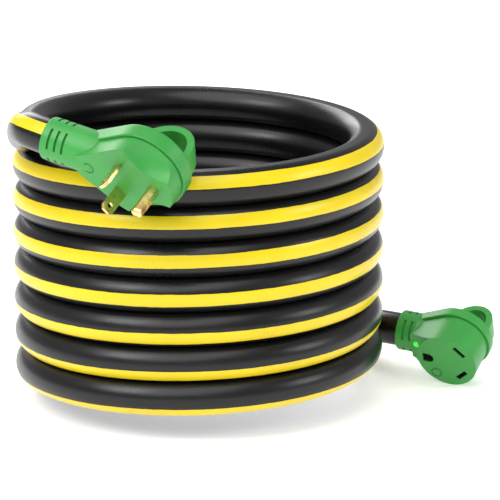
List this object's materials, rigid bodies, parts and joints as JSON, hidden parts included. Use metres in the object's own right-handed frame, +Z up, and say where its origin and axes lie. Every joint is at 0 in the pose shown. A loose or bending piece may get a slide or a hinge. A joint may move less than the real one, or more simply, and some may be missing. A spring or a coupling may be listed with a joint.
{
  "type": "shore power cord",
  "caption": "Coiled heavy power cord with a yellow-striped black jacket, a green three-blade plug with a finger handle and a matching green connector.",
  "frame": {"origin": "where the coil's vertical axis meets the floor", "axes": "+Z up along the coil's axis, +X to the right where the connector lies, +Y to the back"},
  "size_m": [0.2911, 0.2714, 0.192],
  "materials": {
    "cord_jacket": "satin black jacket with one yellow stripe along its length",
    "head_green": "satin green overmoulding, fine grain",
    "contact_brass": "bright brass sheet, drawn finish",
    "copper_strand": "bare stranded copper",
    "wire_black": "smooth wire insulation",
    "wire_white": "smooth wire insulation",
    "wire_green": "smooth wire insulation",
    "insert_black": "moulded insert, matt",
    "lens_green": "clear green lens",
    "led_clear": "clear epoxy",
    "resistor_tan": "lacquered tan body",
    "tinned_wire": "tinned wire"
  },
  "bodies": {
    "root": {"cord_coil": "cord_jacket", "plug_lead": "cord_jacket", "connector_lead": "cord_jacket", "plug_body": "head_green", "plug_bridge": "insert_black", "plug_line_blade": "contact_brass", "plug_neutral_blade": "contact_brass", "plug_ground_pin": "contact_brass", "connector_body": "head_green", "connector_block": "insert_black", "connector_line_contact": "contact_brass", "connector_neutral_contact": "contact_brass", "connector_ground_contact": "contact_brass", "led_lens": "lens_green", "led": "led_clear", "led_resistor": "resistor_tan", "led_line_leg": "tinned_wire", "led_resistor_leg": "tinned_wire", "led_neutral_leg": "tinned_wire", "plug_line_wire": "wire_black", "plug_line_strands": "copper_strand", "plug_neutral_wire": "wire_white", "plug_neutral_strands": "copper_strand", "plug_ground_wire": "wire_green", "plug_ground_strands": "copper_strand", "connector_line_wire": "wire_black", "connector_line_strands": "copper_strand", "connector_neutral_wire": "wire_white", "connector_neutral_strands": "copper_strand", "connector_ground_wire": "wire_green", "connector_ground_strands": "copper_strand"}
  },
  "joints": []
}
